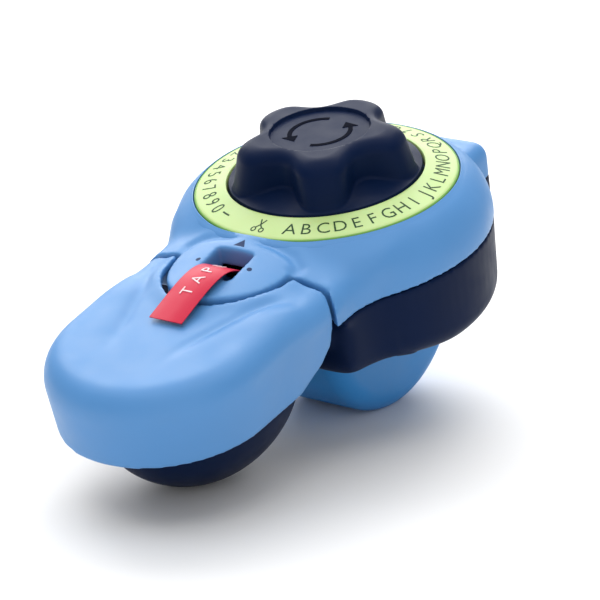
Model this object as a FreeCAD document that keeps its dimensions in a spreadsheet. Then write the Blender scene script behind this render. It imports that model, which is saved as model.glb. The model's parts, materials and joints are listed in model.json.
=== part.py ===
"""Hand-held embossing label maker, as a parametric assembly of separate pieces.

Working frame, while the pieces are drawn: the letter dial turns about Z, its outer edge lies in
the plane Z = 0, the squeeze handle points to -X. At the end every piece gets the same standing
placement, which tips the whole tool back onto its grip and its tape door, as it rests on a table.
All sizes are in millimetres and come from the sheet.
"""
import FreeCAD, Part
import math
import os
import re
import Sketcher

V = FreeCAD.Vector
Y_AXIS = V(0, 1, 0)
Z_AXIS = V(0, 0, 1)

SIZES = {
    # stance
    "stance_tilt": 12.2,
    "floor_depth": 59.1,
    # dial, knob and what turns with them
    "dial_radius": 32.0,
    "dial_bore": 23.9,
    "dial_rise": 2.0,
    "dial_skirt": 1.2,
    "knob_disc": 23.5,
    "disc_cone": 2.5,
    "knob_foot": 23.0,
    "knob_crown": 19.6,
    "knob_top": 13.2,
    "knob_round": 3.2,
    "knob_dish": 12.2,
    "knob_dish_depth": 0.9,
    "knob_lobes": 5,
    "knob_turn": 33.0,
    "scallop_centre": 22.4,
    "scallop_radius": 7.3,
    "scallop_flare": 2.0,
    "letters": 45,
    "disc_radius": 29.5,
    "disc_top": -6.0,
    "disc_thickness": 0.9,
    "finger_root": 17.0,
    "finger_gap": 0.8,
    "die_place": 27.6,
    "die_radius": 1.5,
    "die_depth": 1.8,
    "shaft_radius": 3.95,
    "shaft_bore": 4.0,
    "shaft_top": 5.8,
    "shaft_foot": -7.6,
    # round housing
    "wall": 2.2,
    "body_radius": 39.0,
    "lip_radius": 32.4,
    "lip_top": -0.2,
    "deck_top": -1.6,
    "deck_bottom": -3.6,
    "parting": -13.9,
    "parting_gap": 0.25,
    "neck_parting": -14.6,
    "bowl_taper": 0.5,
    "bowl_bottom": -34.2,
    "bowl_round": 5.2,
    "rear_end": 40.4,
    "rear_half_width": 22.0,
    "rear_top": -4.6,
    "rear_bottom": -29.0,
    # neck, tongue and tape window
    "neck_half_width": 27.4,
    "neck_top": 1.5,
    "neck_crown": 2.9,
    "neck_sweep": 20.0,
    "neck_front": -36.8,
    "neck_slope": 0.13,
    "seam": 1.3,
    "tongue_centre": -39.0,
    "tongue_length": 18.0,
    "tongue_half_width": 15.0,
    "tongue_bottom": -9.2,
    "window_back": -38.2,
    "window_front": -49.0,
    "window_half_width": 5.1,
    "window_floor": -8.2,
    # squeeze handle
    "cover_end": -70.4,
    "cover_radius": 27.4,
    "cover_draft": 2.0,
    "cover_top": -3.2,
    "cover_slope": 0.062,
    "cover_skirt": -25.0,
    "cover_round": 6.5,
    "pivot_ahead": -41.0,
    "pivot_height": -17.0,
    "pivot_radius": 1.5,
    "running_gap": 0.05,
    "lever_top": -10.5,
    "lever_thickness": 2.0,
    "lever_half_width": 11.0,
    "lever_end": -90.0,
    # grip under the handle
    "grip_centre": -59.0,
    "grip_axis": -22.0,
    "grip_radius": 25.0,
    "grip_squash": 0.87,
    "grip_start": 9.0,
    "grip_arc": 32.0,
    "grip_half_width": 21.9,
    # tape door under the round housing
    "door_centre": 4.4,
    "door_axis": -31.6,
    "door_radius": 29.4,
    "door_half_width": 14.3,
    "door_top": -34.6,
    "door_round": 5.0,
    "hinge_ahead": 31.0,
    "hinge_height": -36.8,
    "hinge_radius": 1.8,
    "hinge_pin": 0.95,
    # tape and what guides it
    "tape_width": 9.0,
    "tape_thickness": 0.25,
    "tape_level": -10.8,
    "roll_ahead": 1.5,
    "roll_height": -38.2,
    "roll_radius": 16.6,
    "core_radius": 7.0,
    "spindle_radius": 4.0,
    "guide_ahead": 22.0,
    "guide_height": -15.1,
    "guide_radius": 4.0,
    "feed_ahead": -16.0,
    "feed_height": -14.2,
    "feed_radius": 3.1,
    "feed_pin": 1.45,
    "ratchet_radius": 4.6,
    "ratchet_teeth": 12,
    "frame_half_width": 10.0,
    "frame_wall": 1.8,
    "frame_front": -23.0,
    "frame_back": 26.0,
    "platen_ahead": -27.8,
    "platen_half": 2.6,
    "cutter_ahead": -33.6,
    # screws
    "screw_circle": 33.6,
    "screw_radius": 1.4,
    "screw_head": 2.7,
}

doc = FreeCAD.newDocument("label_maker")
sheet = doc.addObject("Spreadsheet::Sheet", "Sizes")
for row, (alias, number) in enumerate(SIZES.items(), start=1):
    sheet.set("A%d" % row, alias)
    sheet.set("B%d" % row, str(number))
    sheet.setAlias("B%d" % row, alias)
doc.recompute()

pieces = []


def size(text):
    """The value in millimetres or degrees of a sheet name or of a sum of them."""
    return float(sheet.evalExpression(str(text)))


def linked(text):
    """The same sum, written so that another object's expression can read the sheet."""
    return re.sub(r"[a-z_]{4,}", lambda word: "Sizes." + word.group(0), str(text))


def keep(piece, label, at=("0", "0", "0"), turn="0"):
    """Name a finished piece and note its place in the working frame, and its turn about Z."""
    piece.Label = label
    place = V(*[size(number) for number in at])
    pieces.append((piece, FreeCAD.Placement(place, FreeCAD.Rotation(Z_AXIS, size(turn)))))
    return piece


# ---------------------------------------------------------------- sketches and features

def new_sketch(body, role, lift=None):
    """An empty sketch on one of the body's own origin planes."""
    sketch = body.newObject("Sketcher::SketchObject", "Sketch")
    plane = [item for item in body.Origin.OriginFeatures if item.Role == role][0]
    sketch.AttachmentSupport = [(plane, "")]
    sketch.MapMode = "FlatFace"
    if lift is not None:
        sketch.setExpression(".AttachmentOffset.Base.z", linked(lift))
    return sketch


def bind(sketch, line, point, across, along):
    """Tie one sketch point to the sheet, as its distances from the sketch's origin."""
    for kind, text in (("DistanceX", across), ("DistanceY", along)):
        number = sketch.addConstraint(Sketcher.Constraint(kind, -1, 1, line, point, size(text)))
        sketch.setExpression("Constraints[%d]" % number, linked(text))


def polygon(body, role, corners, lift=None):
    """A closed sketch of straight lines through the corners."""
    sketch = new_sketch(body, role, lift)
    points = [V(size(across), size(along), 0) for across, along in corners]
    count = len(points)
    for number in range(count):
        sketch.addGeometry(Part.LineSegment(points[number], points[(number + 1) % count]))
    for number in range(count):
        sketch.addConstraint(Sketcher.Constraint("Coincident", number, 2, (number + 1) % count, 1))
    for number, (across, along) in enumerate(corners):
        bind(sketch, number, 1, across, along)
    return sketch


def ring_sketch(body, role, centre, radius, lift=None):
    """A sketch of one circle."""
    sketch = new_sketch(body, role, lift)
    middle = V(size(centre[0]), size(centre[1]), 0)
    sketch.addGeometry(Part.Circle(middle, Z_AXIS, size(radius)))
    bind(sketch, 0, 3, centre[0], centre[1])
    number = sketch.addConstraint(Sketcher.Constraint("Radius", 0, size(radius)))
    sketch.setExpression("Constraints[%d]" % number, linked(radius))
    return sketch


def feature(body, kind, sketch):
    """A feature made from a sketch, left for its caller to size."""
    made = body.newObject("PartDesign::" + kind, kind)
    made.Profile = sketch
    return made


def pad(body, sketch, length, symmetric=True):
    """Material raised from a sketch."""
    made = feature(body, "Pad", sketch)
    made.setExpression("Length", linked(length))
    made.Midplane = symmetric
    return made


def pocket(body, sketch, length, symmetric=True, upwards=False):
    """Material cut away from a sketch, checked to cut something."""
    doc.recompute()
    before = body.Shape.Volume
    made = feature(body, "Pocket", sketch)
    made.setExpression("Length", linked(length))
    made.Midplane = symmetric
    made.Reversed = upwards
    doc.recompute()
    if body.Shape.Volume > before - 0.01:
        raise RuntimeError("a pocket of " + body.Name + " cuts nothing")
    return made


def revolve(body, sketch):
    """A full turn about the sketch's upright axis."""
    made = feature(body, "Revolution", sketch)
    made.ReferenceAxis = (sketch, ["V_Axis"])
    made.Angle = 360
    return made


def polar(body, pattern_of, count, axis_role):
    """A ring of copies of one feature about an axis of the body."""
    axis = [item for item in body.Origin.OriginFeatures if item.Role == axis_role][0]
    made = body.newObject("PartDesign::PolarPattern", "PolarPattern")
    made.Originals = [pattern_of]
    made.Axis = (axis, [""])
    made.Angle = 360
    made.setExpression("Occurrences", linked(count))
    body.Tip = made
    return made


def turned(label, role, corners, at=("0", "0", "0")):
    """A piece turned on a lathe: about Z on the XZ plane, about Y on the XY plane."""
    body = doc.addObject("PartDesign::Body", label)
    revolve(body, polygon(body, role, corners))
    return keep(body, label, at)


def spool(label, inner, outer, low, high, at):
    """A plain tube, or with an inner radius of 0 a rod, lying along Y."""
    corners = [(inner, low), (outer, low), (outer, high), (inner, high)]
    return turned(label, "XY_Plane", corners, at)


def block(label, role, corners, depth, at=("0", "0", "0")):
    """A flat outline thickened evenly both ways."""
    body = doc.addObject("PartDesign::Body", label)
    pad(body, polygon(body, role, corners), depth)
    return keep(body, label, at)


# ---------------------------------------------------------------- solids for the moulded shells

def box(low, high):
    """A box between two corners."""
    return Part.makeBox(high[0] - low[0], high[1] - low[1], high[2] - low[2], V(*low))


def rod(radius, start, end):
    """A straight round bar."""
    line = V(*end) - V(*start)
    return Part.makeCylinder(radius, line.Length, V(*start), line)


def face_of(edges):
    """A flat face bounded by edges in any order."""
    return Part.Face(Part.Wire(Part.__sortEdges__(edges)))


def lines(points):
    """Edges joining the points one after another."""
    return [Part.makeLine(first, second) for first, second in zip(points, points[1:])]


def prism(points, depth):
    """An XZ outline made solid, centred on the plane Y = 0."""
    corners = [V(across, -depth / 2, up) for across, up in points]
    return face_of(lines(corners + corners[:1])).extrude(V(0, depth, 0))


def plan_prism(edges, low, high):
    """An XY outline made solid between two heights."""
    face = face_of(edges)
    face.translate(V(0, 0, low))
    return face.extrude(V(0, 0, high - low))


def edges_near(shape, test):
    """The shape's edges whose middle passes a test."""
    found = []
    for edge in shape.Edges:
        middle = edge.valueAt((edge.FirstParameter + edge.LastParameter) / 2)
        if test(middle):
            found.append(edge)
    return found


def moulded(label, solid):
    """A free-form moulding, kept as a feature whose shape is computed here."""
    piece = doc.addObject("Part::Feature", label)
    piece.Shape = solid.removeSplitter()
    return keep(piece, label)


def strip(points, thickness, width):
    """A flat strip bent along an XZ line, of even thickness and centred on Y = 0."""
    ahead = [V(across, 0, up) for across, up in points]
    sides = []
    for sign in (1, -1):
        side = []
        for number, point in enumerate(ahead):
            before = ahead[max(number - 1, 0)]
            after = ahead[min(number + 1, len(ahead) - 1)]
            first = (point - before) if number else (after - point)
            second = (after - point) if number < len(ahead) - 1 else first
            mean = first.normalize() + second.normalize()
            mean.normalize()
            out = V(-mean.z, 0, mean.x)
            spread = thickness / 2 / max(0.3, mean.dot(first))
            side.append(point + out * (sign * spread))
        sides.append(side)
    corners = sides[0] + sides[1][::-1]
    outline = [(corner.x, corner.z) for corner in corners]
    return prism(outline, width)


def bend(centre, radius, start, end, steps=8):
    """Points of an arc in the XZ plane, angles in degrees from +X towards +Z."""
    points = []
    for number in range(steps + 1):
        angle = math.radians(start + (end - start) * number / steps)
        points.append((centre[0] + radius * math.cos(angle), centre[1] + radius * math.sin(angle)))
    return points


def dome(radius, lip, top, bottom):
    """The round shoulder between the dial and the parting line."""
    bulge = V(lip + 0.7 * (radius - lip), 0, top + 0.33 * (bottom - top))
    shoulder = Part.Arc(V(lip, 0, top), bulge, V(radius, 0, bottom)).toShape()
    rest = lines([V(radius, 0, bottom), V(0, 0, bottom), V(0, 0, top), V(lip, 0, top)])
    return face_of([shoulder] + rest).revolve(V(0, 0, 0), Z_AXIS, 360)


def bowl(radius, taper, top, bottom, rounding):
    """The round tub below the parting line, with a rounded bottom edge."""
    foot = radius - taper
    corner = V(foot - rounding * 0.293, 0, bottom + rounding * 0.293)
    curve = Part.Arc(V(foot, 0, bottom + rounding), corner, V(foot - rounding, 0, bottom)).toShape()
    rest = lines([V(foot - rounding, 0, bottom), V(0, 0, bottom), V(0, 0, top), V(radius, 0, top),
                  V(foot, 0, bottom + rounding)])
    return face_of([curve] + rest).revolve(V(0, 0, 0), Z_AXIS, 360)


def grip_solid(inset):
    """The lower half of a barrel lying along X, which the fingers hold."""
    radius = size("grip_radius") - inset
    arc = size("grip_arc") - inset
    centre = V(size("grip_centre"), 0, size("grip_axis"))
    low = size("cover_end") - size("cover_radius") + size("grip_start") + inset
    high = -33.0
    drop = arc - radius

    def rim(ahead):
        return math.sqrt(arc ** 2 - (ahead - centre.x) ** 2) - drop

    tip = V(low, 0, centre.z - rim(low))
    crown = V(centre.x, 0, centre.z - radius)
    heel = V(high, 0, centre.z - rim(high))
    curve = Part.Arc(tip, crown, heel).toShape()
    rest = lines([heel, V(high, 0, centre.z), V(low, 0, centre.z), tip])
    barrel = face_of([curve] + rest).revolve(centre, V(1, 0, 0), 360)
    squash = FreeCAD.Matrix()
    squash.scale(1.0, size("grip_squash"), 1.0)
    barrel = barrel.transformGeometry(squash)
    return barrel.common(box((low - 1, -40, -80), (high + 1, 40, centre.z + 0.4)))


def floor_cutter():
    """Everything below the table top that the tool stands on."""
    slope = math.radians(size("stance_tilt"))
    depth = size("floor_depth")
    corners = []
    for ahead in (-110.0, 60.0):
        corners.append((ahead, (-depth - ahead * math.sin(slope)) / math.cos(slope)))
    corners += [(60.0, -120.0), (-110.0, -120.0)]
    return prism(corners, 120.0)


def above_parting(shift):
    """Everything above the line where the two housings meet, which dips towards the handle."""
    level = size("parting") + shift
    neck = size("neck_parting") + shift
    corners = [(-70.0, neck - 0.4), (-31.0, neck), (-12.0, level), (70.0, level), (70.0, 30.0),
               (-70.0, 30.0)]
    return prism(corners, 120.0)


def tongue(grow, low, high):
    """The half-ellipse of the upper housing that reaches into the handle cover."""
    centre = V(size("tongue_centre"), 0, 0)
    ellipse = Part.Ellipse(centre, size("tongue_length") + grow, size("tongue_half_width") + grow)
    shape = plan_prism([ellipse.toShape()], low, high)
    return shape.common(box((-90, -40, low), (centre.x + 0.5, 40, high)))


def neck_plan(inset, level):
    """The plan of the round body's run into the neck, swept in by a hollow curve each side."""
    radius = size("body_radius") - inset
    half = size("neck_half_width") - inset
    sweep = size("neck_sweep") + inset
    reach = radius + sweep
    centre = V(-math.sqrt(reach ** 2 - (half + sweep) ** 2), half + sweep, level)
    touch = V(centre.x * radius / reach, centre.y * radius / reach, level)
    lean = math.atan2(touch.y - centre.y, touch.x - centre.x)
    middle = (lean - math.pi / 2) / 2
    between = V(centre.x + sweep * math.cos(middle), centre.y + sweep * math.sin(middle), level)
    start = V(size("neck_front") + inset, half, level)
    foot = V(centre.x, half, level)
    inside = V(-8.0, radius * 0.82, level)
    edges = []
    for side in (1, -1):
        point = [V(at.x, at.y * side, level) for at in (start, foot, between, touch, inside)]
        edges += lines(point[:2]) + [Part.Arc(point[1], point[2], point[3]).toShape()]
        edges += lines(point[3:])
    edges += lines([V(start.x, -half, level), start])
    edges += lines([V(inside.x, -inside.y, level), inside])
    return Part.Wire(Part.__sortEdges__(edges))


def neck_section(inset):
    """The neck's upright section: crowned in the middle, rolled over at the sides."""
    top = size("neck_top") - inset
    half = size("neck_half_width") - inset
    ahead = -26.0
    foot = size("neck_parting") - 3.0
    left = [V(ahead, -half, foot), V(ahead, -half, top - 11.0), V(ahead, -half + 6.0, top - 5.2)]
    left.append(V(ahead, -15.0 + 0.3 * inset, top - size("neck_crown")))
    right = [V(point.x, -point.y, point.z) for point in left]
    roll_left = Part.Arc(left[1], V(ahead, -half + 1.9, top - 7.2), left[2]).toShape()
    roll_right = Part.Arc(right[1], V(ahead, half - 1.9, top - 7.2), right[2]).toShape()
    crown = Part.Arc(left[3], V(ahead, 0, top), right[3]).toShape()
    straight = lines([left[0], left[1]]) + lines([left[2], left[3]])
    straight += lines([right[3], right[2]]) + lines([right[1], right[0], left[0]])
    run = 34.0
    direction = V(-run, 0, -run * size("neck_slope"))
    return face_of(straight + [roll_left, roll_right, crown]).extrude(direction)


def seam_keep(shift):
    """The plan outline that the upper housing keeps at the neck, back of the handle's seam."""
    front = [V(60, -60, 0), V(-41.2 + shift, -60, 0), V(-41.2 + shift, -28.6, 0),
             V(-37.9 + shift, -24.2, 0), V(-39.0 + shift, -15.0, 0)]
    back = [V(point.x, -point.y, 0) for point in front[::-1]]
    outline = front + back
    return plan_prism(lines(outline + outline[:1]), -60, 30)


def upper_housing():
    """Light shell around the dial, with the tongue that holds the tape window."""
    wall = size("wall")
    radius = size("body_radius")
    lip = size("lip_radius")
    low = size("parting") - 3.5
    outer = dome(radius, lip, size("lip_top"), size("parting")).fuse(
        rod(radius, (0, 0, low), (0, 0, size("parting"))))
    rear = box((10, -size("rear_half_width"), low),
               (size("rear_end"), size("rear_half_width"), size("rear_top")))
    rear = rear.makeFillet(4.0, edges_near(rear, lambda at: at.x > 20 and at.z > low + 0.5))
    sweep = Part.Face(neck_plan(0.0, low)).extrude(V(0, 0, size("lip_top") - low))
    sweep = sweep.common(dome(radius + 3.4, lip, size("lip_top") - 0.5, low))
    outer = outer.fuse([neck_section(0.0), rear, sweep]).removeSplitter()
    inner = dome(radius - wall, lip - 1.9, size("deck_bottom"), size("parting")).fuse(
        rod(radius - wall, (0, 0, low - 1), (0, 0, size("parting") + 0.1)))
    inner = inner.fuse(box((5, -size("rear_half_width") + wall, low - 1),
                           (size("rear_end") - wall, size("rear_half_width") - wall,
                            size("rear_top") - wall)))
    hollow_neck = neck_section(wall + 1.2).common(box((-37.4, -40, -30), (-20, 40, 5)))
    shell = outer.cut(inner.fuse(hollow_neck))
    # the tongue is a block of its own depth, hollowed beside the window well
    kept = seam_keep(0.0).fuse(tongue(0.0, size("tongue_bottom"), 20))
    shell = shell.common(kept)
    well = box((size("window_front"), -size("window_half_width"), size("window_floor")),
               (size("window_back"), size("window_half_width"), 10))
    slot = box((size("window_back") - 0.5, -4.9, -8.2), (-28.0, 4.9, -4.9))
    lever_way = box((-60.0, -13.4, -30.0), (-35.8, 13.4, size("tongue_bottom") - 0.05))
    shell = shell.cut(well.fuse([slot, lever_way]))
    # dial seat, shaft bore and the slit for the detent's nose
    seat = rod(size("dial_radius") + 0.25, (0, 0, size("deck_top")), (0, 0, 5))
    bore = rod(size("shaft_bore"), (0, 0, -20), (0, 0, 5))
    nose = box((25.6, -2.4, -5), (29.6, 2.4, 0))
    shell = shell.cut(seat.fuse([bore, nose]))
    bosses = [rod(3.0, (x, y, size("parting") + 0.2), (x, y, -4.2)) for x, y in screw_places()]
    holes = [rod(size("screw_radius") + 0.05, (x, y, -20), (x, y, -5.0)) for x, y in screw_places()]
    shell = shell.fuse([boss.common(outer) for boss in bosses])
    for hole in holes:
        shell = shell.cut(hole)
    return shell.common(above_parting(size("parting_gap")))


def screw_places():
    """Where the four case screws stand, in plan."""
    places = []
    for degrees in (52.0, 130.0, -130.0, -52.0):
        angle = math.radians(degrees)
        places.append((size("screw_circle") * math.cos(angle), size("screw_circle") * math.sin(angle)))
    return places


def lower_housing():
    """Dark tub under the dial, drawn out into the grip under the handle."""
    wall = size("wall")
    top = size("parting") + 1.0
    half = size("grip_half_width")
    bottom = size("bowl_bottom")
    outer = bowl(size("body_radius"), size("bowl_taper"), top, bottom, size("bowl_round"))
    rear = box((10, -size("rear_half_width"), size("rear_bottom")),
               (size("rear_end"), size("rear_half_width"), top))
    rear = rear.makeFillet(4.0, edges_near(rear, lambda at: at.x > 20 and at.z < top - 0.5))
    neck = box((-47.5, -half, size("grip_axis") - 2), (-22, half, top))
    sweep = Part.Face(neck_plan(0.25, bottom)).extrude(V(0, 0, top - bottom))
    rims = edges_near(sweep, lambda at: at.z < bottom + 0.01 and at.x < -20.0)
    sweep = sweep.makeFillet(size("bowl_round") - 0.4, rims)
    outer = outer.fuse([rear, neck, sweep, grip_solid(0.0)]).removeSplitter()
    inner = bowl(size("body_radius") - wall, size("bowl_taper"), top + 1, bottom + wall,
                 size("bowl_round") - wall)
    inner = inner.fuse([
        box((5, -size("rear_half_width") + wall, size("rear_bottom") + wall),
            (size("rear_end") - wall, size("rear_half_width") - wall, top + 1)),
        box((-50, -half + wall, size("grip_axis") - 1), (-20, half - wall, top + 1)),
        box((size("neck_front") + wall, -half - 2.0, size("bowl_bottom") + 6.0), (-20, half + 2.0, top + 1)),
        grip_solid(wall)])
    shell = outer.cut(inner)
    # way down for the tape roll, pin bores, hinge knuckles and screw bosses
    flange_side = size("door_half_width") - wall + 0.25
    opening = box((-17.2, -flange_side, bottom - 8), (20.5, 10.9, bottom + 6))
    shell = shell.cut(opening)
    pin = rod(size("pivot_radius") + 0.02, (size("pivot_ahead"), -40, size("pivot_height")),
              (size("pivot_ahead"), 40, size("pivot_height")))
    ears = []
    for side in (-1, 1):
        ears.append(box((-46.5, side * (half - 1.0) - 1.6, size("grip_axis") - 0.5),
                        (-35.5, side * (half - 1.0) + 1.0, size("neck_parting") - 0.2)))
        ears.append(knuckle(side * 9.6 - 2.3, side * 9.6 + 2.3, bottom + 1.6))
    shell = shell.fuse(ears).cut(pin)
    axle = rod(size("hinge_pin") + 0.05, (size("hinge_ahead"), -20, size("hinge_height")),
               (size("hinge_ahead"), 20, size("hinge_height")))
    shell = shell.cut(axle)
    for x, y in screw_places():
        post = rod(3.4, (x, y, bottom + 1), (x, y, size("parting") + 0.1)).common(outer)
        shell = shell.fuse(post)
        shell = shell.cut(rod(size("screw_radius") + 0.05, (x, y, -40), (x, y, 0)))
        shell = shell.cut(rod(size("screw_head") + 0.2, (x, y, -40), (x, y, -28.0)))
    shell = shell.common(outer.fuse(ears[1::2]))
    return shell.cut(above_parting(0.0)).cut(floor_cutter())


def knuckle(start, end, top):
    """One knuckle of the tape door's hinge, hung from a flat web."""
    ahead = size("hinge_ahead")
    height = size("hinge_height")
    barrel = rod(size("hinge_radius"), (ahead, start, height), (ahead, end, height))
    web = box((ahead - size("hinge_radius"), start, height), (ahead + size("hinge_radius"), end, top))
    return barrel.fuse(web)


def cover_outline(half, level):
    """The handle cover's plan at one level: straight sides and a round end."""
    centre = size("cover_end")
    arc = Part.Arc(V(centre, half, level), V(centre - half, 0, level), V(centre, -half, level))
    sides = lines([V(centre, -half, level), V(-30, -half, level), V(-30, half, level),
                   V(centre, half, level)])
    return Part.Wire(Part.__sortEdges__(sides + [arc.toShape()]))


def cover_solid(inset):
    """The handle cover as a filled block, or what is inside it."""
    top = size("cover_top") - inset
    half = size("cover_radius") - inset
    draft = size("cover_draft")
    skirt = size("cover_skirt")
    slope = size("cover_slope")
    rise = draft / (top + inset - skirt)
    blank = Part.makeLoft([cover_outline(half - draft - rise * 6.0, skirt - 6.0),
                           cover_outline(half + rise * 4.0, top + inset + 4.0)], True, True)
    ahead = size("tongue_centre")
    above = prism([(-120.0, top + slope * (-120.0 - ahead)), (0.0, top - slope * ahead), (0.0, 20.0),
                   (-120.0, 20.0)], 90.0)
    blank = blank.cut(above)
    rolled = edges_near(blank, lambda at: at.z > top - 5.0 and at.x < -31)
    blank = blank.makeFillet(size("cover_round") - inset, rolled)
    return blank.cut(box((-120, -60, -60), (0, 60, skirt))) if inset == 0.0 else blank


def handle_cover():
    """Light shell that the palm squeezes, open below."""
    shell = cover_solid(0.0).cut(cover_solid(size("wall")))
    lift = [(-30.0, -30.0), (-54.0, -30.0), (-54.0, size("cover_skirt")), (-45.0, -21.6),
            (-41.6, -18.4), (-41.0, -15.0), (-30.0, -15.0)]
    shell = shell.cut(prism(lift, 80.0))
    shell = shell.cut(seam_keep(-size("seam")))
    shell = shell.cut(tongue(size("seam"), -40, 20))
    bosses = []
    for ahead in (-66.0, -84.0):
        for side in (-8.0, 8.0):
            bosses.append(rod(2.6, (ahead, side, size("lever_top") + 0.02),
                              (ahead, side, size("cover_top") - 3.6)))
    return shell.fuse(bosses)


def tape_door():
    """Light keel under the round housing: the hinged door that holds the tape roll."""
    wall = size("wall")
    shells = []
    for inset in (0.0, wall):
        radius = size("door_radius") - inset
        half = size("door_half_width") - inset
        wheel = rod(radius, (size("door_centre"), -half, size("door_axis")),
                    (size("door_centre"), half, size("door_axis")))
        rims = edges_near(wheel, lambda at: abs(abs(at.y) - half) < 0.01)
        wheel = wheel.makeFillet(size("door_round") - inset, rims)
        shells.append(wheel.common(box((-60, -40, -80), (60, 40, size("door_top") + inset))))
    door = shells[0].cut(shells[1])
    gap = box((size("hinge_ahead") - 3.2, -40, size("hinge_height") - 2.6), (60, 40, 0))
    for side in (-1, 1):
        low, high = sorted((side * 6.9, side * 12.5))
        door = door.cut(gap.common(box((-60, low, -80), (60, high, 0))))
    ahead = size("hinge_ahead")
    height = size("hinge_height")
    door = door.cut(box((ahead + 0.9, -40, height + 0.3), (60, 40, 0)))
    door = door.fuse(rod(size("hinge_radius"), (ahead, -6.4, height), (ahead, 6.4, height)))
    web = box((size("hinge_ahead") - 3.4, -6.4, size("hinge_height") - 1.8),
              (size("hinge_ahead"), 6.4, size("hinge_height") + 1.6))
    door = door.fuse(web.common(box((0, -40, -80), (60, 40, size("door_top")))))
    axle = rod(size("hinge_pin") + 0.05, (size("hinge_ahead"), -20, size("hinge_height")),
               (size("hinge_ahead"), 20, size("hinge_height")))
    return door.cut(axle).cut(floor_cutter())


def knob():
    """Five-lobed grip on a low conical disc, with a shallow dish in its top."""
    body = doc.addObject("PartDesign::Body", "knob")
    revolve(body, polygon(body, "XZ_Plane", [
        ("0", "0"), ("knob_foot", "dial_rise - 0.3"), ("knob_crown", "knob_top"),
        ("knob_dish", "knob_top"), ("knob_dish", "knob_top - knob_dish_depth"),
        ("0", "knob_top - knob_dish_depth")]))
    doc.recompute()
    rim = [number + 1 for number, edge in enumerate(body.Shape.Edges)
           if edge.Curve.TypeId == "Part::GeomCircle"
           and abs(edge.Curve.Radius - size("knob_crown")) < 0.01]
    turned_blank = body.Tip
    rounding = body.newObject("PartDesign::Fillet", "Fillet")
    rounding.Base = (turned_blank, ["Edge%d" % number for number in rim])
    rounding.setExpression("Radius", linked("knob_round"))
    doc.recompute()
    circle = ring_sketch(body, "XY_Plane", ("scallop_centre", "0"), "scallop_radius", "knob_top + 2")
    scallop = pocket(body, circle, "knob_top + 4", symmetric=False)
    scallop.setExpression("TaperAngle", linked("scallop_flare"))
    polar(body, scallop, "knob_lobes", "Z_Axis")
    doc.recompute()
    revolve(body, polygon(body, "XZ_Plane", [
        ("0", "-dial_skirt"), ("knob_disc", "-dial_skirt"), ("knob_disc", "dial_rise - 0.6"),
        ("knob_disc - 0.6", "dial_rise"), ("14", "dial_rise + disc_cone"),
        ("0", "dial_rise + disc_cone")]))
    doc.recompute()
    socket = ring_sketch(body, "XY_Plane", ("0", "0"), "shaft_bore", "-dial_skirt")
    pocket(body, socket, "shaft_top + dial_skirt + 0.2", symmetric=False, upwards=True)
    return keep(body, "knob", turn="knob_turn")


def character_disc():
    """Thin disc of springy fingers, one die under the end of each."""
    body = doc.addObject("PartDesign::Body", "character_disc")
    under = "disc_top - disc_thickness"
    revolve(body, polygon(body, "XZ_Plane", [
        ("shaft_bore", under + " - 0.8"), ("8.5", under + " - 0.8"), ("8.5", under),
        ("disc_radius", under), ("disc_radius", "disc_top"), ("shaft_bore", "disc_top")]))
    doc.recompute()
    slit = polygon(body, "XY_Plane", [
        ("-finger_root", "-finger_gap / 2"), ("-disc_radius - 2", "-finger_gap / 2"),
        ("-disc_radius - 2", "finger_gap / 2"), ("-finger_root", "finger_gap / 2")], under + " - 1")
    cut = pocket(body, slit, "disc_thickness + 2", symmetric=False, upwards=True)
    polar(body, cut, "letters", "Z_Axis")
    doc.recompute()
    place = ("-die_place * cos(180 / letters)", "-die_place * sin(180 / letters)")
    dot = ring_sketch(body, "XY_Plane", place, "die_radius", under + " - die_depth")
    die = pad(body, dot, "die_depth + 0.2", symmetric=False)
    polar(body, die, "letters", "Z_Axis")
    return keep(body, "character_disc")


def handle_lever():
    """Flat lever under the cover: hub on the pivot pin, arm under the platen."""
    body = doc.addObject("PartDesign::Body", "handle_lever")
    pad(body, polygon(body, "XZ_Plane", [
        ("lever_end", "lever_top - lever_thickness"), ("-46", "lever_top - lever_thickness"),
        ("-46", "pivot_height"), ("-37.5", "pivot_height"), ("-37.5", "lever_top"),
        ("lever_end", "lever_top")]), "2 * lever_half_width")
    doc.recompute()
    hub = ring_sketch(body, "XZ_Plane", ("pivot_ahead", "pivot_height"), "3.6")
    pad(body, hub, "2 * lever_half_width - 0.2")
    doc.recompute()
    arm = polygon(body, "XZ_Plane", [
        ("pivot_ahead", "pivot_height - 1.8"), ("platen_ahead + 1.4", "-16.4"),
        ("platen_ahead + 1.4", "-14.9"), ("pivot_ahead", "pivot_height + 2.4")])
    pad(body, arm, "7")
    doc.recompute()
    bore = ring_sketch(body, "XZ_Plane", ("pivot_ahead", "pivot_height"),
                       "pivot_radius + running_gap")
    pocket(body, bore, "60")
    return keep(body, "handle_lever")


def ratchet_wheel():
    """Saw-toothed wheel on the end of the feed shaft."""
    body = doc.addObject("PartDesign::Body", "ratchet_wheel")
    revolve(body, polygon(body, "XY_Plane", [
        ("feed_pin + 0.02", "frame_half_width + 0.4"), ("ratchet_radius", "frame_half_width + 0.4"),
        ("ratchet_radius", "frame_half_width + 2"), ("feed_pin + 0.02", "frame_half_width + 2")]))
    doc.recompute()
    notch = polygon(body, "XZ_Plane", [
        ("ratchet_radius - 1.1", "0"), ("ratchet_radius + 1", "-0.1"),
        ("ratchet_radius + 1", "1.9"), ("ratchet_radius - 0.1", "1.7")])
    cut = pocket(body, notch, "60")
    polar(body, cut, "ratchet_teeth", "Y_Axis")
    return keep(body, "ratchet_wheel", ("feed_ahead", "0", "feed_height"))


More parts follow.
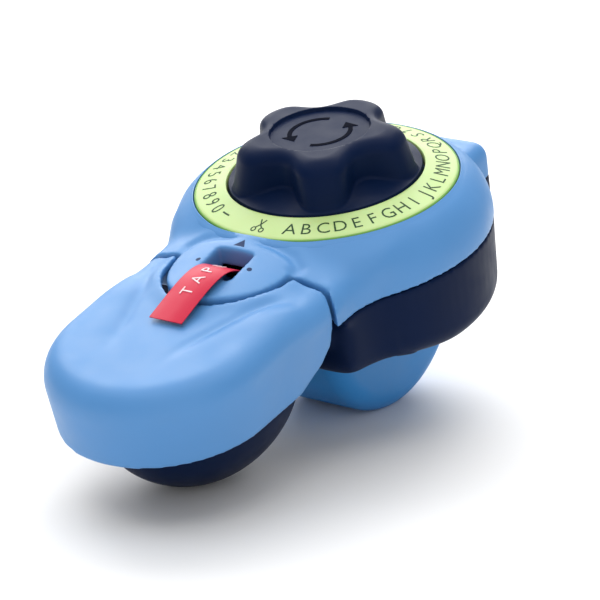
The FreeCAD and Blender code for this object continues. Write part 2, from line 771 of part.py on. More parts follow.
def feed_frame():
    """Inverted channel that guides the tape and carries the rollers."""
    body = doc.addObject("PartDesign::Body", "feed_frame")
    half = "frame_half_width"
    foot = "bowl_bottom + wall + 0.1"
    pad(body, polygon(body, "XZ_Plane", [
        ("frame_front", foot), ("frame_back", foot), ("frame_back", "guide_height + 2.2"),
        ("15.5", "tape_level - 0.5"), ("frame_front", "tape_level - 0.5")]), "2 * frame_half_width")
    doc.recompute()
    inside = polygon(body, "YZ_Plane", [
        ("-frame_half_width + frame_wall", foot + " - 1"), ("frame_half_width - frame_wall", foot + " - 1"),
        ("frame_half_width - frame_wall", "tape_level - 1.7"),
        ("-frame_half_width + frame_wall", "tape_level - 1.7")])
    pocket(body, inside, "120")
    gap = "4.9"
    roller_gap = polygon(body, "XY_Plane", [
        ("feed_ahead - 3.8", "-" + gap), ("feed_ahead + 3.8", "-" + gap),
        ("feed_ahead + 3.8", gap), ("feed_ahead - 3.8", gap)])
    pocket(body, roller_gap, "60")
    back_gap = polygon(body, "XY_Plane", [
        ("15.6", "-frame_half_width + frame_wall"), ("40", "-frame_half_width + frame_wall"),
        ("40", "frame_half_width - frame_wall"), ("15.6", "frame_half_width - frame_wall")])
    pocket(body, back_gap, "60")
    for centre, radius in ((("feed_ahead", "feed_height"), "feed_pin + running_gap"),
                           (("guide_ahead", "guide_height"), "1.22")):
        pocket(body, ring_sketch(body, "XZ_Plane", centre, radius), "60")
    return keep(body, "feed_frame")


def tape_strip():
    """Embossing tape, from above the roll, over the guide roller and out of the window."""
    level = size("tape_level")
    guide = (size("guide_ahead"), size("guide_height"))
    points = [(guide[0] - 0.6, -31.0), (guide[0] + 4.0, guide[1] - 6.0)]
    points += bend(guide, level - guide[1], 0.0, 90.0)
    points += [(-30.0, level), (-33.0, level + 0.75), (-38.0, -6.5), (-42.0, -3.9)]
    points += [(-45.5, -1.9), (-48.6, -0.75), (-51.6, -0.35), (-54.8, -0.75), (-58.6, -1.85)]
    points += [(-62.6, -3.2), (-66.8, -4.55)]
    return strip(points, size("tape_thickness"), size("tape_width"))


def case_screw(x, y):
    """One case screw, head down in its well."""
    head = rod(size("screw_head"), (x, y, -30.2), (x, y, -28.05))
    shank = rod(size("screw_radius"), (x, y, -28.1), (x, y, -5.4))
    slot = box((x - 4, y - 0.4, -31), (x + 4, y + 0.4, -29.4))
    cross = box((x - 0.4, y - 4, -31), (x + 0.4, y + 4, -29.4))
    recess = rod(1.6, (x, y, -31), (x, y, -29.0))
    return head.fuse(shank).cut(slot.fuse(cross).common(recess))


# ---------------------------------------------------------------- the pieces

moulded("upper_housing", upper_housing())
moulded("lower_housing", lower_housing())
moulded("case_screws", Part.makeCompound([case_screw(x, y) for x, y in screw_places()]))

knob()
turned("dial_ring", "XZ_Plane", [
    ("dial_bore", "-dial_skirt"), ("dial_radius", "-dial_skirt"), ("dial_radius", "-0.35"),
    ("dial_radius - 0.5", "0.1"), ("dial_bore", "dial_rise")])
character_disc()
turned("wheel_shaft", "XZ_Plane", [
    ("0", "-2.0"), ("1.2", "-2.0"), ("1.2", "shaft_foot"), ("shaft_radius", "shaft_foot"),
    ("shaft_radius", "shaft_top"), ("0", "shaft_top")])
turned("wheel_screw", "XZ_Plane", [
    ("0", "shaft_foot - 1.9"), ("2.2", "shaft_foot - 1.9"), ("3.4", "shaft_foot - 0.9"),
    ("5.2", "shaft_foot - 0.9"), ("5.2", "shaft_foot - 0.2"), ("1.15", "shaft_foot - 0.2"),
    ("1.15", "-2.3"), ("0", "-2.3")])
moulded("detent_spring", strip([
    (13.0, -3.95), (24.0, -3.95), (26.4, -3.9), (27.6, -1.75), (28.8, -3.9)], 0.35, 3.6))

moulded("handle_cover", handle_cover())
handle_lever()
spool("handle_pivot_pin", "0", "pivot_radius", "-grip_half_width + 0.2", "grip_half_width - 0.2",
      ("pivot_ahead", "0", "pivot_height"))
moulded("handle_spring", strip(
    [(-67.0, -42.6), (-54.0, -43.3)] + bend((-54.0, -39.4), 3.9, -80.0, 45.0)
    + [(-60.0, -28.5), (-76.0, -13.9), (-79.0, -12.95), (-81.0, -13.4)], 0.6, 8.0))
block("feed_pawl", "XZ_Plane", [
    ("-48", "lever_top - lever_thickness"), ("-46", "-15.5"), ("-22.4", "-15.0"),
    ("-21.3", "-14.0"), ("-22.4", "-13.4"), ("-44", "-13.3"), ("-44", "lever_top - 1.6"),
    ("-48", "lever_top - 1.6")], "1.4", ("0", "frame_half_width + 1.9", "0"))

block("platen", "XZ_Plane", [
    ("platen_ahead - platen_half", "-14.7"), ("platen_ahead + platen_half", "-14.7"),
    ("platen_ahead + platen_half", "-13.2"), ("platen_ahead - platen_half", "-13.2")], "9.6")
block("platen_pad", "XZ_Plane", [
    ("platen_ahead - platen_half + 0.4", "-13.2"), ("platen_ahead + platen_half - 0.4", "-13.2"),
    ("platen_ahead + platen_half - 0.4", "-12.4"), ("platen_ahead - platen_half + 0.4", "-12.4")],
    "8.4")
block("cutter_holder", "XZ_Plane", [
    ("cutter_ahead - 1.7", "-14.4"), ("cutter_ahead + 1.7", "-14.4"),
    ("cutter_ahead + 1.7", "-12.6"), ("cutter_ahead + 0.3", "-12.6"), ("cutter_ahead + 0.3", "-13.6"),
    ("cutter_ahead - 0.3", "-13.6"), ("cutter_ahead - 0.3", "-12.6"), ("cutter_ahead - 1.7", "-12.6")],
    "11")
block("cutter_blade", "XZ_Plane", [
    ("cutter_ahead - 0.28", "-13.58"), ("cutter_ahead + 0.28", "-13.58"),
    ("cutter_ahead + 0.28", "-11.4"), ("cutter_ahead", "-10.75"), ("cutter_ahead - 0.28", "-11.4")],
    "10")

feed_frame()
feed_place = ("feed_ahead", "0", "feed_height")
spool("feed_shaft", "0", "feed_pin", "-frame_half_width - 0.6", "frame_half_width + 2.4", feed_place)
spool("feed_roller", "feed_pin + 0.02", "feed_radius", "-4.4", "4.4", feed_place)
ratchet_wheel()
guide_place = ("guide_ahead", "0", "guide_height")
spool("guide_pin", "0", "1.2", "-frame_half_width - 0.6", "frame_half_width + 0.6", guide_place)
turned("guide_roller", "XY_Plane", [
    ("1.25", "-6.6"), ("guide_radius + 1.2", "-6.6"), ("guide_radius + 1.2", "-5.2"),
    ("guide_radius", "-4.9"), ("guide_radius", "4.9"), ("guide_radius + 1.2", "5.2"),
    ("guide_radius + 1.2", "6.6"), ("1.25", "6.6")], guide_place)

moulded("tape_door", tape_door())
spool("hinge_pin", "0", "hinge_pin", "-11.9", "11.9", ("hinge_ahead", "0", "hinge_height"))
roll_place = ("roll_ahead", "0", "roll_height")
half_core = "tape_width / 2 + 0.4"
turned("tape_spindle", "XY_Plane", [
    ("0", "-door_half_width + wall"), ("spindle_radius + 2", "-door_half_width + wall"),
    ("spindle_radius + 2", "-6.6"), ("spindle_radius", "-6.6"), ("spindle_radius", "6.6"),
    ("spindle_radius - 0.8", "7.4"), ("0", "7.4")], roll_place)
spool("tape_core", "spindle_radius + running_gap", "core_radius", "-" + half_core.replace("+", "-"),
      half_core, roll_place)
spool("tape_roll", "core_radius + 0.02", "roll_radius", "-tape_width / 2", "tape_width / 2",
      roll_place)
moulded("tape_strip", tape_strip())

# ---------------------------------------------------------------- stand, check and write

doc.recompute()
stand = FreeCAD.Placement(V(0, 0, 0), FreeCAD.Rotation(Y_AXIS, -size("stance_tilt")))
bounds = FreeCAD.BoundBox()
for piece, place in pieces:
    piece.Placement = stand.multiply(place)
doc.recompute()
for piece, place in pieces:
    bounds.add(piece.Shape.optimalBoundingBox(False))
shift = V(-(bounds.XMin + bounds.XMax) / 2, 0, -bounds.ZMin)
stand.Base = shift
for piece, place in pieces:
    piece.Placement = stand.multiply(place)
doc.recompute()
print("stand: shift %.4f %.4f, box %.3f x %.3f x %.3f" % (
    shift.x, shift.z, bounds.XLength, bounds.YLength, bounds.ZLength))

for item in doc.Objects:
    if "Invalid" in item.State or "Error" in item.State:
        raise RuntimeError(item.Name + " failed to compute")
os.makedirs("parts", exist_ok=True)
for piece, place in pieces:
    shape = piece.Shape
    if shape.isNull() or not shape.isValid():
        raise RuntimeError(piece.Label + " is not a valid solid")
    shape.exportStep("parts/%s.step" % piece.Label)
    print("%-18s solids %d volume %9.1f" % (piece.Label, len(shape.Solids), shape.Volume))
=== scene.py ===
"""Looks of the hand-held embossing label maker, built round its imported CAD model.

Shapes are drawn in the dial's own frame, in millimetres: the dial turns about Z, its outer edge
lies at Z = 0 and the squeeze handle points to -X. They are placed in the row frame, in metres,
by the place and axis of the joint that the dial turns on.
"""
import json
import math

import bpy
import bmesh
import numpy as np
from mathutils import Matrix, Vector
from mathutils.bvhtree import BVHTree
from mathutils.kdtree import KDTree


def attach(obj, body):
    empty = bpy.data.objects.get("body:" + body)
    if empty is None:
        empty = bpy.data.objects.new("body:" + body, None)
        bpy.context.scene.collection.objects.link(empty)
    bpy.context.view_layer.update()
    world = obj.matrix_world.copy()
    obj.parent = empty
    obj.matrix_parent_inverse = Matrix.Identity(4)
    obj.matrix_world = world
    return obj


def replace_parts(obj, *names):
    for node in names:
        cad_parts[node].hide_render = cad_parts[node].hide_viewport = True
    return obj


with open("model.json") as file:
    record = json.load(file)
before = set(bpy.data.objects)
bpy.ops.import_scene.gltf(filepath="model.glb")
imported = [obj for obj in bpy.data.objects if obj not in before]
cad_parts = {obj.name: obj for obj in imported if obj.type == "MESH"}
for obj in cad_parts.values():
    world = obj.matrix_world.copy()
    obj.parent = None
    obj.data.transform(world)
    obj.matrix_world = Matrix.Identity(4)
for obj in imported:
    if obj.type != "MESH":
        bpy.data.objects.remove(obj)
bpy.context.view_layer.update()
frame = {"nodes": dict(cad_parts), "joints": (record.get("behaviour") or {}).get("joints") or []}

MM = 0.001
JOINTS = {joint["name"]: joint for joint in frame["joints"]}

# ---------------------------------------------------------------- the dial's frame

dial_axis = Vector(JOINTS["dial_spin"]["axis"]).normalized()
dial_side = Vector((0.0, 1.0, 0.0))
dial_ahead = dial_side.cross(dial_axis)
DIAL_TURN = np.array(Matrix((dial_ahead, dial_side, dial_axis)).transposed())
DIAL_CENTRE = np.array(JOINTS["dial_spin"]["pos_m"])


def to_row(points):
    """Dial frame in millimetres to row frame in metres."""
    return np.asarray(points, float) @ DIAL_TURN.T * MM + DIAL_CENTRE


def to_dial(points):
    """Row frame in metres to dial frame in millimetres."""
    return (np.asarray(points, float) - DIAL_CENTRE) @ DIAL_TURN / MM


def ramp(value, start, end):
    """Smooth step from 0 at start to 1 at end."""
    share = np.clip((value - start) / (end - start), 0.0, 1.0)
    return share * share * (3.0 - 2.0 * share)


# ---------------------------------------------------------------- materials

def add_node(tree, kind, links=()):
    """A shader node with its sockets set or linked by name."""
    node = tree.nodes.new(kind)
    for socket, value in links:
        if isinstance(value, bpy.types.NodeSocket):
            tree.links.new(value, node.inputs[socket])
        else:
            node.inputs[socket].default_value = value
    return node


SUBSURFACE_DEPTH = 0.0006     # metres
PLASTIC_IOR = 1.45


def moulded_material(name, colour, roughness, spread=0.05, grain=2600.0, grain_depth=0.010,
                     swirl=38.0, gloss_spread=0.07, metallic=0.0, subsurface=0.0,
                     wave_depth=0.0, specular=0.5):
    """Moulded plastic or metal: slight colour drift, fine surface grain and uneven gloss."""
    material = bpy.data.materials.new(name)
    material.use_nodes = True
    tree = material.node_tree
    tree.nodes.clear()
    place = add_node(tree, "ShaderNodeTexCoord").outputs["Object"]
    drift = add_node(tree, "ShaderNodeTexNoise",
                     [("Vector", place), ("Scale", swirl), ("Detail", 3.0), ("Roughness", 0.5)])
    colours = add_node(tree, "ShaderNodeValToRGB", [("Fac", drift.outputs["Fac"])])
    low, high = colours.color_ramp.elements
    low.position, high.position = 0.3, 0.7
    low.color = [channel * (1.0 - spread) for channel in colour] + [1.0]
    high.color = [min(1.0, channel * (1.0 + spread)) for channel in colour] + [1.0]
    fine = add_node(tree, "ShaderNodeTexNoise",
                    [("Vector", place), ("Scale", grain), ("Detail", 2.0), ("Roughness", 0.6)])
    gloss = add_node(tree, "ShaderNodeTexNoise",
                     [("Vector", place), ("Scale", swirl * 4.0), ("Detail", 4.0)])
    rough = add_node(tree, "ShaderNodeMapRange",
                     [("Value", gloss.outputs["Fac"]), ("From Min", 0.3), ("From Max", 0.7),
                      ("To Min", roughness - gloss_spread), ("To Max", roughness + gloss_spread)])
    bump = add_node(tree, "ShaderNodeBump",
                    [("Height", fine.outputs["Fac"]), ("Strength", 0.35),
                     ("Distance", grain_depth * MM)])
    normal = bump.outputs["Normal"]
    if wave_depth:
        wave = add_node(tree, "ShaderNodeBump",
                        [("Height", drift.outputs["Fac"]), ("Strength", 0.3),
                         ("Distance", wave_depth * MM), ("Normal", normal)])
        normal = wave.outputs["Normal"]
    shader = add_node(tree, "ShaderNodeBsdfPrincipled",
                      [("Base Color", colours.outputs["Color"]),
                       ("Roughness", rough.outputs["Result"]), ("Normal", normal),
                       ("Metallic", metallic), ("Subsurface Weight", subsurface),
                       ("Subsurface Scale", SUBSURFACE_DEPTH),
                       ("IOR", PLASTIC_IOR),
                       ("Specular IOR Level", specular)])
    add_node(tree, "ShaderNodeOutputMaterial", [("Surface", shader.outputs["BSDF"])])
    return material


MATERIALS = {
    "light_shell": moulded_material("light_shell_satin", (0.082, 0.262, 0.570), 0.43, 0.035,
                                    wave_depth=0.05, specular=0.50),
    "dark_shell": moulded_material("dark_shell_satin", (0.0020, 0.0095, 0.0400), 0.42, 0.10,
                                   grain_depth=0.014, wave_depth=0.05, specular=0.08),
    "dial_green": moulded_material("dial_green_satin", (0.470, 0.640, 0.240), 0.44, 0.04,
                                   subsurface=0.12),
    "white_plastic": moulded_material("white_nylon", (0.780, 0.780, 0.740), 0.45, 0.03,
                                      subsurface=0.10),
    "grey_plastic": moulded_material("grey_acetal", (0.200, 0.210, 0.220), 0.42, 0.05),
    "steel": moulded_material("brushed_steel", (0.560, 0.570, 0.580), 0.30, 0.05, grain=3800.0,
                              metallic=1.0),
    "spring_steel": moulded_material("spring_steel_strip", (0.430, 0.440, 0.460), 0.26, 0.06,
                                     grain=3800.0, metallic=1.0),
    "rubber": moulded_material("pad_rubber", (0.030, 0.030, 0.032), 0.72, 0.10,
                               grain_depth=0.03),
    "tape_red": moulded_material("tape_vinyl_red", (0.600, 0.022, 0.060), 0.36, 0.05,
                                 grain_depth=0.006, wave_depth=0.10, specular=0.18),
}
# painted shade: the tape door is the shell's own light blue plastic, given a deeper, more
# saturated blue to stand for the shade and blue bounce light under the body
SHADED_DOOR_BLUE = moulded_material("door_blue_painted_shade", (0.030, 0.225, 0.560), 0.44, 0.04, wave_depth=0.05,
                             specular=0.30)
EDGE_GREEN = moulded_material("dial_edge_green", (0.180, 0.400, 0.070), 0.42, 0.06)
PRINT_GREEN = moulded_material("dial_print_green", (0.020, 0.058, 0.020), 0.50, 0.12,
                               specular=0.15)
MARK_BLUE = moulded_material("housing_mark_blue", (0.006, 0.028, 0.100), 0.50, 0.10,
                             specular=0.15)
KNOB_MARK = moulded_material("knob_mark_navy", (0.0015, 0.003, 0.010), 0.70, 0.10, specular=0.02)
EMBOSSED = moulded_material("embossed_white", (0.900, 0.680, 0.710), 0.42, 0.05, swirl=900.0,
                            grain_depth=0.02)

for cad_node in frame["nodes"].values():
    for holder in cad_node.material_slots:
        finish = holder.material.name.split(".")[0]
        holder.link = "OBJECT"
        holder.material = MATERIALS[finish]
# the tape door takes the deeper blue copy of the shell plastic, which is painted shade for its
# place under the body
for holder in frame["nodes"]["tape_door"].material_slots:
    holder.material = SHADED_DOOR_BLUE


# ---------------------------------------------------------------- mesh helpers

def add_piece(name, points, faces, material, body, sharp=35.0):
    """A finished mesh piece, given in the dial's frame, that rides on a body."""
    mesh = bpy.data.meshes.new(name)
    mesh.from_pydata(to_row(points).tolist(), [], faces)
    mesh.validate()
    work = bmesh.new()
    work.from_mesh(mesh)
    bmesh.ops.recalc_face_normals(work, faces=work.faces)
    work.to_mesh(mesh)
    work.free()
    mesh.polygons.foreach_set("use_smooth", [True] * len(mesh.polygons))
    mesh.set_sharp_from_angle(angle=math.radians(sharp))
    mesh.materials.append(material)
    piece = bpy.data.objects.new(name, mesh)
    bpy.context.scene.collection.objects.link(piece)
    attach(piece, body)
    return piece


def ring_faces(rings, around, close_ends=True):
    """Faces of a closed tube of rings, with fans over its two ends."""
    faces = []
    for ring in range(rings - 1):
        for step in range(around):
            after = (step + 1) % around
            faces.append((ring * around + step, ring * around + after,
                          (ring + 1) * around + after, (ring + 1) * around + step))
    if close_ends:
        faces.append(tuple(range(around))[::-1])
        faces.append(tuple((rings - 1) * around + step for step in range(around)))
    return faces


def revolved(profile, around):
    """A closed profile of (radius, height) turned about the dial axis, as points and faces.

    A height may be one number or one for each step round.
    """
    angle = np.arange(around) / around * 2.0 * math.pi
    points = [np.column_stack([radius * np.cos(angle), radius * np.sin(angle),
                               np.broadcast_to(height, around)]) for radius, height in profile]
    faces = ring_faces(len(profile), around, close_ends=False)
    last = (len(profile) - 1) * around
    for step in range(around):
        after = (step + 1) % around
        faces.append((last + step, last + after, after, step))
    return np.vstack(points), faces


def solid_outline(points, low, high):
    """A flat outline of (x, y) thickened between two heights, as points and faces."""
    count = len(points)
    corners = [(x, y, low) for x, y in points] + [(x, y, high) for x, y in points]
    faces = [tuple(range(count))[::-1], tuple(range(count, 2 * count))]
    for step in range(count):
        after = (step + 1) % count
        faces.append((step, after, count + after, count + step))
    return corners, faces


def merge(parts):
    """Several (points, faces) as one."""
    points, faces = [], []
    for some_points, some_faces in parts:
        first = len(points)
        points.extend(some_points)
        faces.extend([tuple(first + number for number in face) for face in some_faces])
    return points, faces


def stroke(line, width, low, high):
    """A bar of even width along a flat line of (x, y) points."""
    line = np.asarray(line, float)
    ahead = np.gradient(line, axis=0)
    ahead /= np.linalg.norm(ahead, axis=1)[:, None]
    side = np.column_stack([-ahead[:, 1], ahead[:, 0]]) * (width / 2)
    outline = np.vstack([line + side, (line - side)[::-1]])
    return solid_outline([tuple(point) for point in outline], low, high)


def letter_mesh(text, height, thin):
    """One letter as flat (points, faces), centred, lying in XY, of unit thickness 0 to 1."""
    curve = bpy.data.curves.new("letter", "FONT")
    curve.body = text
    curve.size = 1.0
    curve.offset = thin
    curve.extrude = 0.5
    curve.resolution_u = 3
    curve.align_x = "CENTER"
    holder = bpy.data.objects.new("letter", curve)
    bpy.context.scene.collection.objects.link(holder)
    bpy.context.view_layer.update()
    mesh = bpy.data.meshes.new_from_object(
        holder.evaluated_get(bpy.context.evaluated_depsgraph_get()))
    points = np.array([vertex.co for vertex in mesh.vertices], float).reshape(-1, 3)
    faces = [tuple(face.vertices) for face in mesh.polygons]
    bpy.data.objects.remove(holder)
    bpy.data.curves.remove(curve)
    bpy.data.meshes.remove(mesh)
    capital = 0.729
    scale = height / capital
    middle = (points[:, 0].min() + points[:, 0].max()) / 2
    points[:, 0] = (points[:, 0] - middle) * scale
    points[:, 1] = (points[:, 1] - capital / 2) * scale
    points[:, 2] += 0.5
    return points, faces


# ---------------------------------------------------------------- moulded shells

SHARP_EDGE = math.radians(24.0)     # an edge of the CAD mesh sharper than this is kept
WELD = 2e-6                         # metres
SNAP_REACH = 0.62                   # of a voxel
TOP_SHARE = 0.9                     # share of full smoothing on the cover
UNDER_TOP, UNDER_COVER = -6.0, -6.6     # heights between a shell's outer and inner face
EVEN_OUT = 0.8                      # share of full smoothing that takes out the voxel steps
TONGUE_CENTRE, TONGUE_LONG, TONGUE_WIDE = -39.0, 18.0, 15.0     # the tongue's ellipse


def tongue_distance(x, y, grow=0.0):
    """How far out a point is from the tongue's centre, 1 on the ellipse grown by a width."""
    return np.hypot((x - TONGUE_CENTRE) / (TONGUE_LONG + grow), y / (TONGUE_WIDE + grow))


def sharp_line(work, spacing):
    """A search tree of points along the sharp edges of a mesh."""
    found = []
    for edge in work.edges:
        if len(edge.link_faces) == 2 and edge.calc_face_angle(0.0) > SHARP_EDGE:
            start, end = (vertex.co for vertex in edge.verts)
            steps = max(1, int((end - start).length / spacing))
            found += [start.lerp(end, step / steps) for step in range(steps + 1)]
    ridge = KDTree(len(found))
    for number, point in enumerate(found):
        ridge.insert(point, number)
    ridge.balance()
    return ridge


def reskin(node, voxel):
    """The CAD node's skin as an even mesh: points in the dial's frame, and faces."""
    source = frame["nodes"][node]
    work = bmesh.new()
    work.from_mesh(source.data)
    bmesh.ops.remove_doubles(work, verts=work.verts, dist=WELD)
    bmesh.ops.triangulate(work, faces=work.faces)
    tree = BVHTree.FromBMesh(work)
    ridge = sharp_line(work, voxel * MM / 5)
    mesh = bpy.data.meshes.new("skin")
    work.to_mesh(mesh)
    work.free()
    holder = bpy.data.objects.new("skin", mesh)
    bpy.context.scene.collection.objects.link(holder)
    remesh = holder.modifiers.new("Even", "REMESH")
    remesh.mode = "VOXEL"
    remesh.voxel_size = voxel * MM
    bpy.context.view_layer.update()
    even = bpy.data.meshes.new_from_object(
        holder.evaluated_get(bpy.context.evaluated_depsgraph_get()))
    points = np.empty(len(even.vertices) * 3)
    even.vertices.foreach_get("co", points)
    points = points.reshape(-1, 3)
    faces = [tuple(face.vertices) for face in even.polygons]
    bpy.data.objects.remove(holder)
    bpy.data.meshes.remove(even)
    reach = SNAP_REACH * voxel * MM
    for number, point in enumerate(points):
        edge, _, gap = ridge.find(point)
        points[number] = edge if gap < reach else tree.find_nearest(Vector(point))[0]
    return to_dial(points), faces


def soften(points, faces, share, passes):
    """Laplacian smoothing, each point by its own share."""
    pairs = set()
    for face in faces:
        for first, second in zip(face, face[1:] + face[:1]):
            pairs.add((min(first, second), max(first, second)))
    pairs = np.array(sorted(pairs))
    count = np.bincount(pairs.ravel(), minlength=len(points)).astype(float)
    weight = (0.5 * share)[:, None]
    for _ in range(passes):
        total = np.zeros_like(points)
        for axis in range(3):
            total[:, axis] = (
                np.bincount(pairs[:, 0], points[pairs[:, 1], axis], len(points))
                + np.bincount(pairs[:, 1], points[pairs[:, 0], axis], len(points)))
        points = points + weight * (total / count[:, None] - points)
    return points


def crease(points, line, width, depth, fades=(0.0, 0.25, 0.55)):
    """How far a soft groove along a flat line sinks each point."""
    line = np.asarray(line, float)
    near = np.full(len(points), 1e9)
    along = np.zeros(len(points))
    total = len(line) - 1
    for number, (first, second) in enumerate(zip(line, line[1:])):
        ahead = second - first
        share = np.clip(((points[:, :2] - first) @ ahead) / (ahead @ ahead), 0.0, 1.0)
        gap = np.linalg.norm(points[:, :2] - first - share[:, None] * ahead, axis=1)
        closer = gap < near
        near = np.where(closer, gap, near)
        along = np.where(closer, (number + share) / total, along)
    fade = ramp(along, fades[0], fades[1]) * ramp(-along, -1.0, -fades[2])
    return depth * fade * np.exp(-(near / width) ** 2)


def upper_shell():
    """The light housing round the dial, its dome flowing softly into the neck."""
    points, faces = reskin("upper_housing", 0.505)
    x, y, z = points.T
    radius = np.hypot(x, y)
    # the fold between dome and neck, clear of the dial's seat, the handle's seam and the tub's
    share = (ramp(radius, 33.0, 34.6) * ramp(x, -36.9, -35.0) * ramp(z, -12.6, -10.8)
             * ramp(-x, 10.0, 15.0))
    points = soften(points, faces, share, 90)
    for side in (-1, 1):     # the groove round the tongue's pad
        edge = [(-39.5, 15.6 * side), (-36.0, 15.6 * side), (-34.0, 12.5 * side),
                (-33.3, 7.0 * side), (-33.2, 0.0)]
        sink = crease(points, edge, 1.4, 0.95, (0.0, 0.06, 0.80))
        points[:, 2] -= np.where(points[:, 2] > UNDER_TOP, sink * ramp(radius, 32.6, 33.6), 0.0)
    points = soften(points, faces, np.full(len(points), EVEN_OUT), 6)
    seat_wall = 32.35
    radius = np.hypot(points[:, 0], points[:, 1])
    seat = (radius > seat_wall - 0.45) & (radius < seat_wall + 0.40) & (points[:, 2] > -1.5)
    points[seat, :2] *= (seat_wall / radius[seat])[:, None]
    return add_piece("housing_shell", points, faces, MATERIALS["light_shell"], "root",
                     sharp=50.0)


def cover_shell():
    """The squeezed handle's cover, with two shallow creases fanning out from its mouth.

    Its top falls away to the neck's shoulders and rises to the tongue at the mouth.
    """
    points, faces = reskin("handle_cover", 0.45)
    points = soften(points, faces, np.full(len(points), EVEN_OUT), 9)
    x, y, z = points.T
    fall = 2.1 * ramp(np.abs(y), 14.5, 21.5) * ramp(x, -60.0, -42.0) * ramp(z, -14.0, -9.0)
    sink = fall
    for side in (-1, 1):
        line = [(-46.0, 18.6 * side), (-50.0, 17.8 * side), (-56.0, 15.0 * side),
                (-63.0, 12.4 * side), (-70.0, 10.0 * side), (-77.0, 8.3 * side),
                (-85.0, 8.0 * side)]
        sink = sink + crease(points, line, 1.5, 0.75)
        swell = [(ahead, across + 4.4 * side) for ahead, across in line]
        sink = sink - crease(points, swell, 3.0, 0.45)
    lift = 0.8 * ramp(-tongue_distance(x, y), -1.34, -1.04) * ramp(-x, 44.0, 52.0)
    points[:, 2] += np.where(z > UNDER_COVER, lift - sink, -fall)
    share = ramp(points[:, 2], -23.5, -20.0) * ramp(-points[:, 0], 43.5, 47.0)
    share = share * ramp(tongue_distance(points[:, 0], points[:, 1], 1.3), 1.08, 1.2)
    points = soften(points, faces, share * TOP_SHARE, 7)
    foot = ramp(-points[:, 2], 18.0, 21.0)
    points = soften(points, faces, foot * TOP_SHARE, 14)
    return add_piece("handle_cover_shell", points, faces, MATERIALS["light_shell"], "handle",
                     sharp=50.0)


def lower_shell():
    """The dark tub, its neck and grip run together by soft hollows."""
    points, faces = reskin("lower_housing", 0.57)
    x, _, z = points.T
    # the neck's lower corner is drawn up, then run into the grip, but not into the resting face
    points[:, 2] += 2.3 * ramp(x, -47.0, -36.0) * ramp(-x, 4.0, 27.0) * ramp(-z, 15.0, 24.0)
    share = ramp(-x, 22.0, 36.0) * ramp(-z, 16.2, 18.0)
    share = share * ramp(to_row(points)[:, 2] / MM, 0.3, 2.0)
    points = soften(points, faces, share, 70)
    clear_of_hinge = EVEN_OUT * ramp(-points[:, 0], -29.0, -24.0)
    points = soften(points, faces, clear_of_hinge, 5)
    return add_piece("tub_shell", points, faces, MATERIALS["dark_shell"], "root",
                     sharp=50.0)


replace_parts(lower_shell(), "lower_housing")
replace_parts(upper_shell(), "upper_housing")
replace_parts(cover_shell(), "handle_cover")


# ---------------------------------------------------------------- knob

KNOB_TOP, KNOB_ROUNDING = 13.2, 3.4
KNOB_FOOT, KNOB_CROWN = 23.0, 19.6                  # lobe radius at the disc and at the top
DISC_RIM, DISC_LEVEL, DISC_CONE = 23.5, 2.0, 0.27   # the disc climbs from its rim at this slope
LOBES, FIRST_VALLEY = 5, math.radians(33.0)
VALLEY_CENTRE, VALLEY_RADIUS = 22.4, 7.3
VALLEY_FLARE = math.tan(math.radians(2.0))
DISH_RADIUS, DISH_DEPTH = 12.2, 0.9


def knob_outline(angle, height, inset=0.0):
    """The lobed outline's radius at each angle, at one height, drawn in by an inset."""
    climbed = (height - DISC_LEVEL) / (KNOB_TOP - DISC_LEVEL)
    plain = KNOB_FOOT + (KNOB_CROWN - KNOB_FOOT) * climbed - inset
    hollow = VALLEY_RADIUS + (KNOB_TOP - height) * VALLEY_FLARE + inset
    spacing = 2.0 * math.pi / LOBES
    off = (angle - FIRST_VALLEY + spacing / 2) % spacing - spacing / 2
    inside = hollow ** 2 - (VALLEY_CENTRE * np.sin(off)) ** 2
    near = VALLEY_CENTRE * np.cos(off) - np.sqrt(np.maximum(inside, 0.0))
    outline = np.where(inside > 0.0, np.minimum(plain, near), plain)
    reach = 15
    spread = np.exp(-0.5 * (np.arange(-reach, reach + 1) / (reach / 2.6)) ** 2)
    spread /= spread.sum()
    wrapped = np.concatenate([outline[-reach:], outline, outline[:reach]])
    return np.convolve(wrapped, spread, "valid")


def disc_level(radius):
    """Height of the knob's disc at a radius."""
    return DISC_LEVEL + DISC_CONE * (DISC_RIM - 0.15 - radius)


